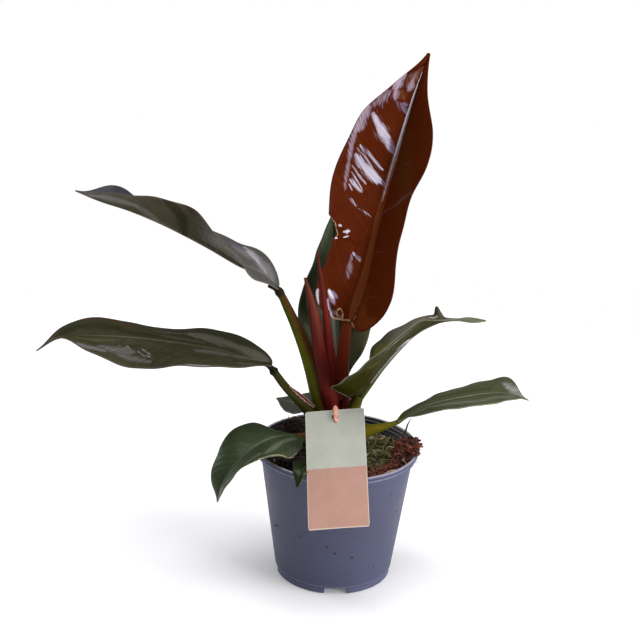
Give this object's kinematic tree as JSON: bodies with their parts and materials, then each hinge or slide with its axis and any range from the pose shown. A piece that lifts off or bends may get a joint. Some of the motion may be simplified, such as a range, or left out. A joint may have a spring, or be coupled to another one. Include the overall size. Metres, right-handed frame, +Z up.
{
  "type": "potted philodendron",
  "caption": "Potted foliage plant: long pointed leaves on stalks from a short stem, in a tapered nursery pot of soil, with a plain card on a cord.",
  "frame": {"origin": "on the ground under the middle of the whole plant's outline, a little to the left of the pot's axis", "axes": "+Z up, -Y towards the side that the card hangs on, +X to the right as seen from there"},
  "size_m": [0.3606, 0.1502, 0.3833],
  "materials": {
    "potPlastic": "matte, slightly worn",
    "soil": "loose dark potting soil",
    "moss": "wiry green moss",
    "bark": "coarse bark and coir",
    "redLeaf": "glossy red-brown leaf",
    "greenLeaf": "glossy dark green leaf",
    "stalk": "satin leaf stalk",
    "redStalk": "satin crimson stalk",
    "stem": "red-brown stem base",
    "drySheath": "thin dry sheath",
    "card": "matte printed card",
    "cord": "soft peach cord"
  },
  "bodies": {
    "root": {"pot": "potPlastic", "soil": "soil", "moss": "moss", "bark": "bark", "spikeOuter": "redStalk", "spikeInner": "redStalk", "tallStalk": "redStalk", "upperLeftStalk": "stalk", "foldedRightStalk": "stalk", "middleLeftStalk": "stalk", "lowRightStalk": "stalk", "uprightStalk": "stalk", "lowerLeftStalk": "stalk", "backLeftStalk": "stalk", "tinyStalk": "stalk", "crown": "stem", "tallBlade": "redLeaf", "upperLeftBlade": "greenLeaf", "middleLeftBlade": "greenLeaf", "lowerLeftBlade": "greenLeaf", "backLeftBlade": "greenLeaf", "uprightBlade": "greenLeaf", "foldedRightBlade": "greenLeaf", "lowRightBlade": "greenLeaf", "tinyBlade": "greenLeaf", "sheathScrap": "drySheath", "card": "card", "cardCord": "cord"}
  },
  "joints": []
}
